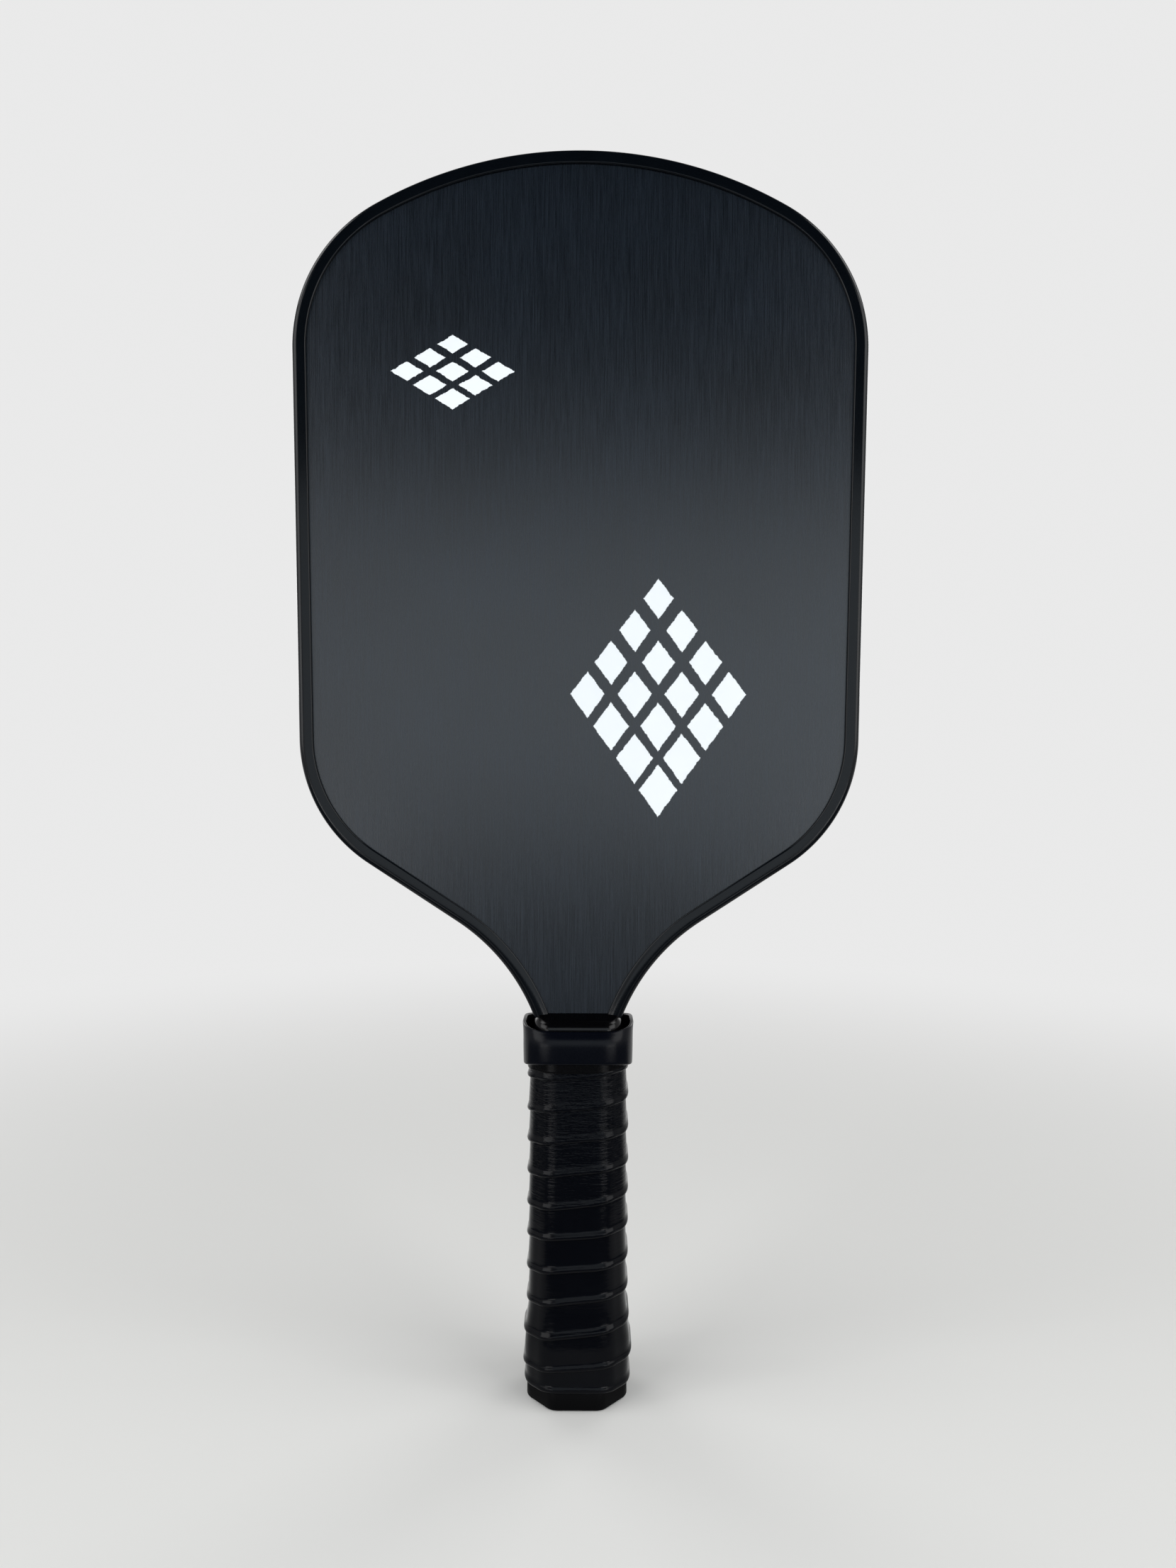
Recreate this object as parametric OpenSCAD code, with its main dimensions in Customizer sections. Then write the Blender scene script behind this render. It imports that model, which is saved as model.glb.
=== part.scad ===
// Pickleball paddle: a honeycomb panel with bonded face sheets, a moulded edge guard round
// the head, and an octagonal handle of two pallets with butt cap, wrapped grips and collar.
// Millimetres. Z runs up the paddle from the butt, X across it, and the front face looks to -Y.

/* [Head outline] */
// Length of the whole paddle, from the butt to the crown
paddle_len = 411; // [395:1:425]
// Width of the head over the edge guard
head_w = 190; // [180:1:200]
// Radius of the crown
crown_r = 138; // [125:1:160]
// Radius of the two upper corners
upper_r = 53.5; // [46:0.5:60]
// Inward lean of the sides towards the handle, in degrees
side_lean = 1.3; // [0.5:0.05:2.5]
// Radius of the two lower corners
lower_r = 50; // [42:0.5:58]
// Height of the lower corners' centres
lower_z = 218; // [210:1:228]
// Slope of the flanks between head and neck, in degrees
flank_slope = 33; // [31:0.5:36]
// Radius of the hollow curve at each side of the neck
neck_r = 66; // [58:1:74]
// Half width of the neck at its narrowest, over the guard's line
neck_half = 10; // [9.5:0.1:11]

/* [Panel] */
// Thickness of the honeycomb core
core_t = 14.6; // [12:0.1:15.5]
// Thickness of the fleece film fused to each side of the core
film_t = 0.15; // [0.1:0.05:0.3]
// Thickness of each face sheet
sheet_t = 0.55; // [0.3:0.05:0.8]
// Honeycomb cell, across flats from wall middle to wall middle
cell = 12; // [10:0.5:16]
// Thickness of the honeycomb's walls
cell_wall = 0.4; // [0.3:0.05:0.8]
// Thickness of the fused skin along the core's cut edge
edge_skin = 0.8; // [0.5:0.1:1.5]

/* [Edge guard] */
// Width of the guard seen from the front
guard_cover = 4.8; // [3.6:0.1:6]
// Thickness of the guard round the panel's edge
web_t = 1.6; // [1.2:0.1:2]
// Thickness of the guard's lips over the faces
lip_t = 1.1; // [0.8:0.05:1.5]
// Play between the guard's lips and the faces
lip_gap = 0.04; // [0.03:0.01:0.1]
// Rounding of the lips' free edges
lip_edge_r = 0.5; // [0.2:0.05:0.7]
// Rounding of the guard's outer shoulders
guard_round = 2; // [1:0.1:2.5]
// How far the guard's ends run down into the collar
guard_tuck = 8.2; // [7:0.1:8.8]
// Thickness of the bonding tape inside the guard
tape_t = 0.25; // [0.15:0.05:0.4]
// Width of the bonding tape
tape_w = 12; // [8:0.5:14]
// Fine step where two lengths of the guard's curve join
join_step = 0.01; // [0.005:0.005:0.02]
// How far one length of the guard's curve reaches into the next
join_lap = 0.3; // [0.2:0.05:0.4]

/* [Handle] */
// Width of the bare octagonal handle
handle_w = 27; // [25:0.5:29]
// Depth of the bare handle, front to back
handle_d = 24.6; // [23.4:0.2:26]
// Bevel of the octagon across the width
bevel_w = 4.8; // [4.4:0.1:5.4]
// Bevel of the octagon across the depth
bevel_d = 5.2; // [4.8:0.1:5.8]
// Softening of the octagon's corners, along each side
corner_soft = 2.2; // [1.4:0.1:2.4]
// Width of the pallets' heads, above the grip
pallet_head_w = 28.4; // [27:0.2:29]
// Depth over both pallets' heads
pallet_head_d = 28.4; // [27:0.2:28.8]
// Rounding of the pallet heads' upright edges
pallet_head_r = 5.5; // [5:0.25:6]
// Height where the pallets' shoulders meet the faces
shoulder_z = 127; // [125.4:0.2:130]
// Fall of the shoulders from the face to the front
shoulder_fall = 2; // [1:0.1:2.6]
// Rounding of the shoulders' front edge
shoulder_r = 2.4; // [1.5:0.1:2.8]

/* [Butt cap] */
// Width of the butt cap
cap_w = 33; // [32:0.5:36]
// Depth of the butt cap, front to back
cap_d = 30.4; // [29.6:0.2:34]
// Bevel of the cap's octagon across the width
cap_bevel_w = 8.2; // [7.4:0.1:9]
// Bevel of the cap's octagon across the depth
cap_bevel_d = 9; // [8:0.1:9.6]
// Rounding of the cap's end edge
cap_edge = 0.8; // [0.4:0.1:1.5]
// Height of the part of the cap that the grip leaves bare
flange_h = 6; // [5:0.5:7]
// Thickness of the cap's floor
floor_t = 3; // [2:0.5:3.6]
// Height of the cap's skirt, which the grip covers
skirt_z = 26; // [22:0.5:28]
// How much the handle flares out at the butt, on each side
flare = 1.45; // [1.2:0.05:1.5]
// Height where the flare starts
flare_z = 34; // [33:0.5:38]
// Height below which the flare is full
flare_full_z = 15; // [14:0.5:16]

/* [Staples] */
// Height of the staples that hold the butt cap
staple_z = 12; // [9:0.5:14]
// Width of a staple
staple_w = 9; // [6:0.5:10]
// Reach of a staple's legs into the pallet, from the skirt's face
staple_leg = 4.6; // [3.4:0.1:5]
// Width of the staples' flat wire
staple_wire = 1.2; // [0.8:0.1:1.4]
// Thickness of the staples' flat wire
staple_t = 0.5; // [0.3:0.05:0.6]

/* [Grips] */
// Height where both grips end, inside the collar
grip_top = 114.5; // [114:0.1:115]
// Thickness of the cushion grip
cushion_t = 1.1; // [0.8:0.1:1.6]
// Rise of the cushion grip in one turn
cushion_pitch = 24.6; // [20:0.2:28]
// Seam left between the turns of the cushion grip
cushion_seam = 0.3; // [0.2:0.05:1]
// Thickness of the overgrip
over_t = 0.34; // [0.26:0.02:0.44]
// Width of the overgrip strip
over_w = 25; // [20:0.5:29]
// Rise of the overgrip in one turn
over_pitch = 10.4; // [9:0.1:14]
// Width of the strips' cut ends
strip_end = 3; // [2.5:0.5:6]

/* [Finishing band and collar] */
// Height of the finishing band's lower edge
band_z = 108.9; // [106:0.1:109.4]
// Thickness of the finishing band
band_t = 0.15; // [0.1:0.05:0.3]
// Height of the collar's lower edge, at the sides
collar_z = 109.8; // [109:0.1:110.2]
// How much higher the collar's lower edge lies at the front and back
collar_rise = 2.2; // [0.5:0.1:2.4]
// Height of the collar's upper edge, at the sides
collar_top = 124.2; // [123.4:0.1:124.8]
// How much lower the collar's upper edge lies at the front and back
collar_dip = 1.8; // [0.5:0.1:2.2]
// Thickness of the collar's wall
collar_wall = 1.2; // [0.8:0.1:1.6]
// Room that the collar's mouth leaves beside the pallets, on each side
collar_mouth = 3; // [2.4:0.1:3.4]
// Bevel of the collar's outside
collar_bevel = 5.8; // [5:0.1:6.4]
// Chamfer of the collar's lower edge
collar_chamfer = 0.7; // [0.3:0.1:0.7]
// Softening of the collar's corners, along each side
collar_soft = 2; // [1.2:0.1:2.2]

/* [Clearances] */
// Play round rigid pieces that slide together
fit = 0.1; // [0.06:0.02:0.2]
// Play between wrapped layers
layer_gap = 0.14; // [0.12:0.02:0.2]

/* [Hidden] */
$fn = 96;

// Overshoot with which an arc crosses the straights that it runs into
arc_over = 0.01;
// How far a wedge reaches past the arc that it frames, in radii
wedge_reach = 1.6;

// Panel and guard
panel_t = core_t + 2 * (film_t + sheet_t);
panel_inset = web_t + tape_t + fit;
comb_step = cell * sqrt(3) / 2;
channel_half = panel_t / 2 + lip_gap;
guard_half_d = channel_half + lip_t;
guard_end_z = collar_top - guard_tuck;

// Centres of the outline's arcs, on the right-hand side
crown_c = [0, paddle_len - crown_r];
upper_x = head_w / 2 - upper_r;
upper_c = [upper_x, crown_c[1] + sqrt(pow(crown_r - upper_r, 2) - pow(upper_x, 2))];
lower_x = upper_x + (upper_r - lower_r - (upper_c[1] - lower_z) * sin(side_lean)) / cos(side_lean);
lower_c = [lower_x, lower_z];
neck_x = neck_half + neck_r;
flank_reach = lower_x * sin(flank_slope) - lower_z * cos(flank_slope) + lower_r + neck_r;
neck_c = [neck_x, (neck_x * sin(flank_slope) - flank_reach) / cos(flank_slope)];

// Directions in which the outline's arcs meet, in degrees from +X
crown_dir = 90 - asin(upper_x / (crown_r - upper_r));
side_dir = -side_lean;
flank_dir = flank_slope - 90;
neck_dir = 90 + flank_slope;
guard_end_dir = 180 - asin((guard_end_z - neck_c[1]) / neck_r);

// Handle
tongue_z = floor_t + fit;
pallet_z = floor_t + fit;
head_z = grip_top + fit;
bevel_grow = 2 - sqrt(2);
skirt_face = handle_d / 2 + flare_at(staple_z);
skirt_steps = 8;

// Grips, which are laid round the handle in stations, two to each corner of the octagon
grip_z = flange_h + fit;
turn_ring = handle_ring(0, 2);
turn_n = len(turn_ring);
turn_steps = [for (i = [0:turn_n - 1]) norm(turn_ring[(i + 1) % turn_n] - turn_ring[i])];
over_rise = over_t + layer_gap;
cushion_lift = layer_gap;
over_lift = cushion_lift + cushion_t + layer_gap;
band_lift = over_lift + over_rise * over_w / over_pitch + over_t + layer_gap;

// Collar: inner half width and depth over the grip, round the pallets' heads and at the mouth
collar_lift = band_lift + band_t + fit;
collar_grip = [handle_w / 2 + collar_lift, handle_d / 2 + collar_lift];
collar_head = [max(collar_grip[0], pallet_head_w / 2 + fit), max(collar_grip[1], pallet_head_d / 2 + fit)];
collar_lip = [pallet_head_w / 2 + collar_mouth, pallet_head_d / 2 + fit];
head_corner = (pallet_head_w + pallet_head_d) / 2 - bevel_grow * pallet_head_r;
collar_edge = collar_wall / 4;
// Room between the collar's bevels and the pallets' heads, and the share of its bevel left at the mouth
collar_play = 3 * fit;
mouth_share = 0.8;

function dir(a) = [cos(a), sin(a)];

// A point t of the way along a corner that is softened with a parabola
function soft_corner(v, to_prev, to_next, q, t) =
    v + pow(1 - t, 2) * q * to_prev + pow(t, 2) * q * to_next;

// The octagon's corners, anticlockwise from the right-hand side, for half sizes and bevels
function octagon(hw, hd, bw, bd) = [
    [hw, hd - bd], [hw - bw, hd], [bw - hw, hd], [-hw, hd - bd],
    [-hw, bd - hd], [bw - hw, -hd], [hw - bw, -hd], [hw, bd - hd]];

function unit(v) = v / norm(v);

// The octagon with soft corners, n points to each corner
function soft_octagon(hw, hd, bw, bd, q, n) =
    let (c = octagon(hw, hd, bw, bd))
    [for (i = [0:7], j = [0:n - 1])
        soft_corner(c[i], unit(c[(i + 7) % 8] - c[i]), unit(c[(i + 1) % 8] - c[i]), q, j / (n - 1))];

// The handle's octagon moved outwards evenly by g
function handle_ring(g, n) =
    soft_octagon(handle_w / 2 + g, handle_d / 2 + g,
                 bevel_w + bevel_grow * g, bevel_d + bevel_grow * g, corner_soft, n);

// The butt cap's octagon, inset by g
function cap_ring(g, n) =
    soft_octagon(cap_w / 2 - g, cap_d / 2 - g,
                 cap_bevel_w - bevel_grow * g, cap_bevel_d - bevel_grow * g, corner_soft, n);

// The bevel with which an octagon of these half sizes clears the pallets' heads
function clear_bevel(half) = half[0] + half[1] - head_corner - collar_play;

// An octagon of the collar, g outside the half sizes, at a height that dips towards the front and back
function collar_ring(half, g, bevel, z, dip) =
    [for (p = soft_octagon(half[0] + g, half[1] + g, bevel[0], bevel[1], collar_soft, 4))
        [p[0], p[1], z - dip * pow(p[1] / (half[1] + g), 2)]];

// A ring of two points to each corner, with a third set midway between them
function with_mids(ring) =
    [for (i = [0:2:len(ring) - 2]) each [ring[i], (ring[i] + ring[i + 1]) / 2, ring[i + 1]]];

// A flat ring lifted to height z
function at(ring, z) = [for (p = ring) [p[0], p[1], z]];

// How far the handle is flared out at height z: a smooth step
function flare_at(z) =
    let (s = min(1, max(0, (flare_z - z) / (flare_z - flare_full_z)))) flare * s * s * (3 - 2 * s);

// The sum of a list's first i numbers
function sum_to(v, i) = i == 0 ? 0 : v[i - 1] + sum_to(v, i - 1);

// Turns wound from the start to station i, by length of strip
function turns_at(i) = floor(i / turn_n) + sum_to(turn_steps, i % turn_n) / sum_to(turn_steps, turn_n);

// A strip's point at station i and height z, g out from the handle
function strip_point(i, z, g) =
    let (p = handle_ring(flare_at(z) + g, 2)[i % turn_n]) [p[0], p[1], z];

// A wedge from a centre, wide enough to reach past radius r
module wedge(c, r, from, to) {
    reach = wedge_reach * r;
    polygon([c, c + reach * dir(from), c + reach * dir((from + to) / 2), c + reach * dir(to)]);
}

// What is cut off a sharp corner to leave an arc that runs over the straights by over
module corner_cut(c, r, from, to, over = 0) {
    difference() {
        wedge(c, r, from, to);
        translate(c) circle(r + over);
    }
}

// The sharp corner that an arc rounds
function sharp(c, r, from, to) = c + r / cos((to - from) / 2) * dir((from + to) / 2);

// The panel's outline in the X-Z plane, inset by d from the guard's outer line: a polygon with
// sharp corners and a straight neck, from which the arcs' waste is cut
module outline(d) {
    right = [
        sharp(upper_c, upper_r - d, side_dir, crown_dir),
        sharp(lower_c, lower_r - d, flank_dir, side_dir),
        neck_c + (neck_r + d) * dir(neck_dir),
        neck_c + (neck_r + d) * dir(180),
        [neck_half - d, tongue_z]];
    left = [for (i = [len(right) - 1:-1:0]) [-right[i][0], right[i][1]]];
    difference() {
        polygon(concat([sharp(crown_c, crown_r - d, crown_dir, 180 - crown_dir)], right, left));
        corner_cut(crown_c, crown_r - d, crown_dir, 180 - crown_dir, arc_over);
        for (side = [0, 1]) mirror([side, 0]) {
            corner_cut(upper_c, upper_r - d, side_dir, crown_dir, arc_over);
            corner_cut(lower_c, lower_r - d, flank_dir, side_dir, arc_over);
            translate(neck_c) circle(neck_r + d + arc_over);
        }
    }
}

// Stands an X-Z outline up as a slab from y0 to y1
module slab(y0, y1) {
    rotate([90, 0, 0]) translate([0, 0, -y1]) linear_extrude(y1 - y0) children();
}

// The honeycomb's hexagonal cells, in staggered columns over the whole outline
module cells() {
    cols = ceil(head_w / 2 / comb_step);
    rows = ceil(paddle_len / cell);
    for (i = [-cols:cols], j = [0:rows])
        translate([i * comb_step, (j + (i % 2 == 0 ? 0 : 0.5)) * cell])
            circle((cell - cell_wall) / sqrt(3), $fn = 6);
}

// A layer of the panel, t thick, that starts y0 from the middle on the chosen side
module panel_layer(y0, t, side) {
    mirror([0, side == "rear" ? 0 : 1, 0]) slab(y0, y0 + t) outline(panel_inset);
}

// The guard's C-shaped section, grown by g: x is 0 on its outer face, y runs through the thickness
module guard_section(g) {
    lip_x = lip_edge_r - guard_cover;
    lip_y = guard_half_d - lip_edge_r;
    web_y = guard_half_d - guard_round;
    half = channel_half - g;
    reach = guard_half_d + g;
    difference() {
        translate([-guard_cover - g, -reach]) square([guard_cover + 2 * g, 2 * reach]);
        translate([-2 * guard_cover, -half]) square([2 * guard_cover - web_t - g, 2 * half]);
        for (side = [0, 1]) mirror([0, side]) {
            corner_cut([-guard_round, web_y], guard_round + g, 0, 90);
            corner_cut([lip_x, lip_y], lip_edge_r + g, 90, 180);
        }
    }
}

// A length of guard that turns round a centre; bend is 1 for a bulge and -1 for a hollow
module guard_arc(c, r, from, to, bend, g) {
    rotate([90, 0, 0]) translate([c[0], c[1], 0]) rotate([0, 0, from])
        rotate_extrude(angle = to - from) translate([r, 0]) mirror([bend > 0 ? 0 : 1, 0]) guard_section(g);
}

// A straight length of guard that laps into its neighbours, with its outer face towards out
module guard_run(from, to, out) {
    rotate([90, 0, 0]) translate([from[0], from[1], 0]) rotate([90, 0, out])
        translate([0, 0, -join_lap]) linear_extrude(norm(to - from) + 2 * join_lap) guard_section(0);
}

// Everything within y0 to y1, above height z
module above(z, y0, y1) {
    translate([-head_w, y0, z]) cube([2 * head_w, y1 - y0, paddle_len]);
}

// Rings of equal point count joined into one solid. Each ring runs anticlockwise as seen from the
// far end, and in a closed loop the last ring joins the first
module loft(rings, closed = false) {
    n = len(rings[0]);
    m = len(rings);
    last = closed ? m - 1 : m - 2;
    sides = [for (i = [0:last], j = [0:n - 1])
        let (a = i * n, b = ((i + 1) % m) * n, k = (j + 1) % n)
        each [[a + j, b + j, b + k], [a + j, b + k, a + k]]];
    far = (m - 1) * n;
    ends = closed ? [] : [for (j = [0:n / 2 - 2])
        let (k = n - 1 - j)
        each [[j, j + 1, k - 1], [j, k - 1, k],
              [far + k, far + k - 1, far + j], [far + k - 1, far + j + 1, far + j]]];
    polyhedron([for (r = rings) each r], concat(sides, ends));
}

// A strip wound up the handle, with its ends cut level. Each turn lies over the one below it, so
// a point is lifted by as many layers as there are turns beneath it
module wrapped_strip(pitch, width, thick, lift, rise, start) {
    last = floor((grip_top - strip_end - grip_z - start) / pitch * turn_n);
    loft([for (i = [0:last])
        let (turns = turns_at(i),
             low = grip_z + start + pitch * turns,
             hi = min(low + width, grip_top),
             tall = hi - max(low, grip_z),
             knee = min(max(pitch * turns, 1), tall - 1),
             drops = [0, knee / 4, knee / 2, 3 * knee / 4, knee, (knee + tall) / 2, tall],
             lifts = [for (d = drops) lift + rise * min((low + width - hi + d) / pitch, turns)])
        concat([for (j = [0:6]) strip_point(i, hi - drops[j], lifts[j] + thick)],
               [for (j = [6:-1:0]) strip_point(i, hi - drops[j], lifts[j])])]);
}

// A flat-wire staple in the front of the cap's skirt, with play all round it
module staple(play) {
    wide = staple_w + 2 * play;
    tall = staple_wire + 2 * play;
    thick = staple_t + 2 * play;
    translate([0, -skirt_face - play, staple_z - tall / 2]) {
        translate([-wide / 2, 0, 0]) cube([wide, thick, tall]);
        translate([-wide / 2, 0, 0]) cube([thick, staple_leg + 2 * play, tall]);
        translate([wide / 2 - thick, 0, 0]) cube([thick, staple_leg + 2 * play, tall]);
    }
}

// The front pallet's head, which carries the collar and ends in a shoulder on the face
module pallet_head() {
    front = pallet_head_d / 2;
    slope = atan(shoulder_fall / (front - channel_half));
    round_y = shoulder_r - front;
    round_z = shoulder_z + (round_y + channel_half) * tan(slope) - shoulder_r / cos(slope);
    intersection() {
        translate([0, 0, head_z]) linear_extrude(shoulder_z - head_z) difference() {
            translate([-pallet_head_w / 2, -front]) square([pallet_head_w, front - channel_half]);
            for (side = [0, 1]) mirror([side, 0])
                corner_cut([pallet_head_w / 2 - pallet_head_r, pallet_head_r - front], pallet_head_r, -90, 0);
        }
        rotate([90, 0, 90]) translate([0, 0, -pallet_head_w]) linear_extrude(2 * pallet_head_w) difference() {
            polygon([[-front, head_z], [-channel_half, head_z], [-channel_half, shoulder_z],
                     [-front, shoulder_z - shoulder_fall]]);
            corner_cut([round_y, round_z], shoulder_r, 90 + slope, 180, arc_over);
        }
    }
}

// The front pallet: half of the octagonal bar with its head, hollowed for the panel's tongue,
// the guard's ends and the staple's legs
module pallet() {
    difference() {
        union() {
            intersection() {
                translate([0, 0, pallet_z]) linear_extrude(head_z - pallet_z) polygon(turn_ring);
                translate([-handle_w, -handle_d, 0]) cube([2 * handle_w, handle_d - fit / 2, paddle_len]);
            }
            pallet_head();
        }
        slab(-channel_half, channel_half) outline(panel_inset - fit);
        slab(-guard_half_d - fit, guard_half_d + fit) difference() {
            outline(-fit);
            outline(guard_cover + fit);
            translate([-head_w, 0]) square([2 * head_w, guard_end_z - fit]);
        }
        staple(fit);
    }
}

module honeycomb_core() {
    color("ivory") slab(-core_t / 2, core_t / 2) difference() {
        outline(panel_inset);
        intersection() {
            outline(panel_inset + edge_skin);
            cells();
        }
    }
}

module front_fleece_film() {
    color("gainsboro") panel_layer(core_t / 2, film_t, "front");
}

module rear_fleece_film() {
    color("gainsboro") panel_layer(core_t / 2, film_t, "rear");
}

module front_face_sheet() {
    color("#2b3036") panel_layer(core_t / 2 + film_t, sheet_t, "front");
}

module rear_face_sheet() {
    color("#2b3036") panel_layer(core_t / 2 + film_t, sheet_t, "rear");
}

module guard_bonding_tape() {
    color("whitesmoke") intersection() {
        slab(-tape_w / 2, tape_w / 2) difference() {
            outline(web_t + fit);
            outline(panel_inset);
        }
        above(guard_end_z + web_t, -tape_w, tape_w);
    }
}

module edge_guard() {
    lap = join_lap / upper_r * 180 / PI;
    color("#101114") {
        guard_arc(crown_c, crown_r, crown_dir, 180 - crown_dir, 1, 2 * join_step);
        for (side = [0, 1]) mirror([side, 0, 0]) {
            guard_arc(upper_c, upper_r, side_dir, crown_dir + lap, 1, join_step);
            guard_run(upper_c + upper_r * dir(side_dir), lower_c + lower_r * dir(side_dir), side_dir);
            guard_arc(lower_c, lower_r, flank_dir, side_dir, 1, join_step);
            guard_run(lower_c + lower_r * dir(flank_dir), neck_c + neck_r * dir(neck_dir), flank_dir);
            guard_arc(neck_c, neck_r, neck_dir, guard_end_dir, -1, join_step);
        }
    }
}

module front_pallet() {
    color("#1a1b1e") pallet();
}

module rear_pallet() {
    color("#1a1b1e") mirror([0, 1, 0]) pallet();
}

module butt_cap() {
    color("#0c0d10") difference() {
        loft(concat(
            [at(cap_ring(cap_edge, 3), 0), at(cap_ring(cap_edge / 3, 3), cap_edge / 3),
             at(cap_ring(0, 3), cap_edge), at(cap_ring(0, 3), flange_h)],
            [for (k = [0:skirt_steps])
                let (z = flange_h + (skirt_z - flange_h) * k / skirt_steps)
                at(with_mids(handle_ring(flare_at(z), 2)), z)],
            [at(with_mids(handle_ring(fit, 2)), skirt_z), at(with_mids(handle_ring(fit, 2)), floor_t)]));
        staple(fit);
        mirror([0, 1, 0]) staple(fit);
    }
}

module front_cap_staple() {
    color("silver") staple(0);
}

module rear_cap_staple() {
    color("silver") mirror([0, 1, 0]) staple(0);
}

module cushion_grip() {
    width = cushion_pitch - cushion_seam;
    color("#26272b") wrapped_strip(cushion_pitch, width, cushion_t, cushion_lift, 0, strip_end - width);
}

module overgrip() {
    color("#141519") wrapped_strip(over_pitch, over_w, over_t, over_lift, over_rise, -over_pitch);
}

module finishing_band() {
    inner = handle_ring(band_lift, 3);
    outer = handle_ring(band_lift + band_t, 3);
    color("#1b1c21")
        loft([at(outer, band_z), at(outer, grip_top), at(inner, grip_top), at(inner, band_z)], closed = true);
}

module collar() {
    low_bevel = [bevel_w, bevel_d] + bevel_grow * collar_lift * [1, 1];
    head_bevel = [for (b = low_bevel) min(b, clear_bevel(collar_head))];
    lip_bevel = mouth_share * clear_bevel(collar_lip) * [1, 1];
    out_bevel = collar_bevel * [1, 1];
    color("#101114") loft([
        collar_ring(collar_grip, collar_wall - collar_chamfer, out_bevel, collar_z, -collar_rise),
        collar_ring(collar_grip, collar_wall, out_bevel, collar_z + collar_chamfer, -collar_rise),
        collar_ring(collar_head, collar_wall, out_bevel, head_z, 0),
        collar_ring(collar_lip, collar_wall, out_bevel, collar_top - collar_edge, collar_dip),
        collar_ring(collar_lip, collar_wall - collar_edge, out_bevel, collar_top, collar_dip),
        collar_ring(collar_lip, 0, lip_bevel, collar_top, collar_dip),
        collar_ring(collar_head, 0, head_bevel, head_z, 0),
        collar_ring(collar_grip, 0, low_bevel, collar_z, -collar_rise)], closed = true);
}

honeycomb_core();
front_fleece_film();
rear_fleece_film();
front_face_sheet();
rear_face_sheet();
guard_bonding_tape();
edge_guard();
front_pallet();
rear_pallet();
butt_cap();
front_cap_staple();
rear_cap_staple();
cushion_grip();
overgrip();
finishing_band();
collar();
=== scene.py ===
"""A pickleball paddle that stands on its butt on a pale floor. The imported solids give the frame, and the
pieces that show most are drawn again here as finer surfaces with their real finishes."""
import math

import bpy
import numpy as np
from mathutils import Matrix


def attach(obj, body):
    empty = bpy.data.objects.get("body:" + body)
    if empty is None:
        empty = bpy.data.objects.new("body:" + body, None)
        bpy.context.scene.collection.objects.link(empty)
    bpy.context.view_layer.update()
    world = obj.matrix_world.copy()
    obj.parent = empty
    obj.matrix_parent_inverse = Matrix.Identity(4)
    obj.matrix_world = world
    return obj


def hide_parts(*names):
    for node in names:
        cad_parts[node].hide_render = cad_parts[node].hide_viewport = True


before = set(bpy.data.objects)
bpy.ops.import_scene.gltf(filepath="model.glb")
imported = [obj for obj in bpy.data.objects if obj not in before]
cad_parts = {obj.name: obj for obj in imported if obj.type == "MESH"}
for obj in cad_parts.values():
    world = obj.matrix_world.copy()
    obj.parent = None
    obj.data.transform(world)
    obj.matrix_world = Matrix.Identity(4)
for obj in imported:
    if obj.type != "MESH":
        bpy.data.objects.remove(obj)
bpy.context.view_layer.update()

MM = 0.001

# Head outline, in millimetres and degrees, as in the solids
PADDLE_LEN, HEAD_W = 411.0, 190.0
CROWN_R, UPPER_R, LOWER_R, NECK_R = 138.0, 53.5, 50.0, 66.0
SIDE_LEAN, FLANK_SLOPE = 1.3, 33.0
LOWER_Z, NECK_HALF, GUARD_END_Z = 218.0, 10.0, 116.0

# Edge guard's section: width on the face, wall, outer half depth, channel's half depth
GUARD_COVER, GUARD_WEB, GUARD_HALF, CHANNEL_HALF = 4.8, 1.6, 9.14, 8.04
# Its shoulder's and lip's roundings, and the share of the lip's edge that stays upright
SHOULDER_R, LIP_EDGE_R, LIP_UPRIGHT = 1.9, 0.5, 0.35
# How far the lip's top falls round the head and at the neck, where the second starts, and over what height
LIP_FALL, NECK_FALL, LIP_PASS_Z, LIP_PASS_RUN = 0.06, 0.42, 190.0, 45.0

# Handle's octagon: half width, half depth and the bevel across each, and how they grow as it is offset
HANDLE = np.array([13.5, 12.3, 4.8, 5.2])
BEVEL_GROW = 2 - math.sqrt(2)
GROW = np.array([1, 1, BEVEL_GROW, BEVEL_GROW])
FLARE, FLARE_Z, FLARE_FULL_Z = 1.45, 34.0, 15.0

# Butt cap: octagon, flange, skirt's top, pocket's floor and play, roundings of its end and its rim
CAP = np.array([16.5, 15.2, 8.2, 9.0])
FLANGE_H, SKIRT_Z, CAP_FLOOR, POCKET_PLAY = 6.0, 26.0, 3.0, 0.1
CAP_EDGE, RIM_EDGE, RIM_MID = 0.9, 0.4, 0.12

# Pallets: ends of the bar, tongue's slot and its draft, split, head's half size and roundings, shoulder
PALLET_Z, HEAD_Z, SLOT_HALF, SLOT_DRAFT, SPLIT_Y = 3.1, 114.6, 8.15, 0.4, 0.05
HEAD_HALF, HEAD_R, HEAD_EDGE_R = 14.2, 5.5, 2.4
SHOULDER_Z, SHOULDER_FALL = 127.0, 2.0

# Overgrip: its two ends, then pitch, width, thickness, lift off the handle, rise for each layer beneath
GRIP_Z, GRIP_TOP, STRIP_END = 6.1, 114.5, 3.0
OVER_PITCH, OVER_W, OVER_T, OVER_LIFT, OVER_RISE = 10.4, 25.0, 0.34, 1.38, 0.48
# Its lower edge: rounding, the sliver that stays on the turn below, height, place and reach of the roll
EDGE_R, EDGE_SLIVER, ROLL, ROLL_BACK, ROLL_REACH = 0.5, 0.05, 0.46, 1.0, 1.0
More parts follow.
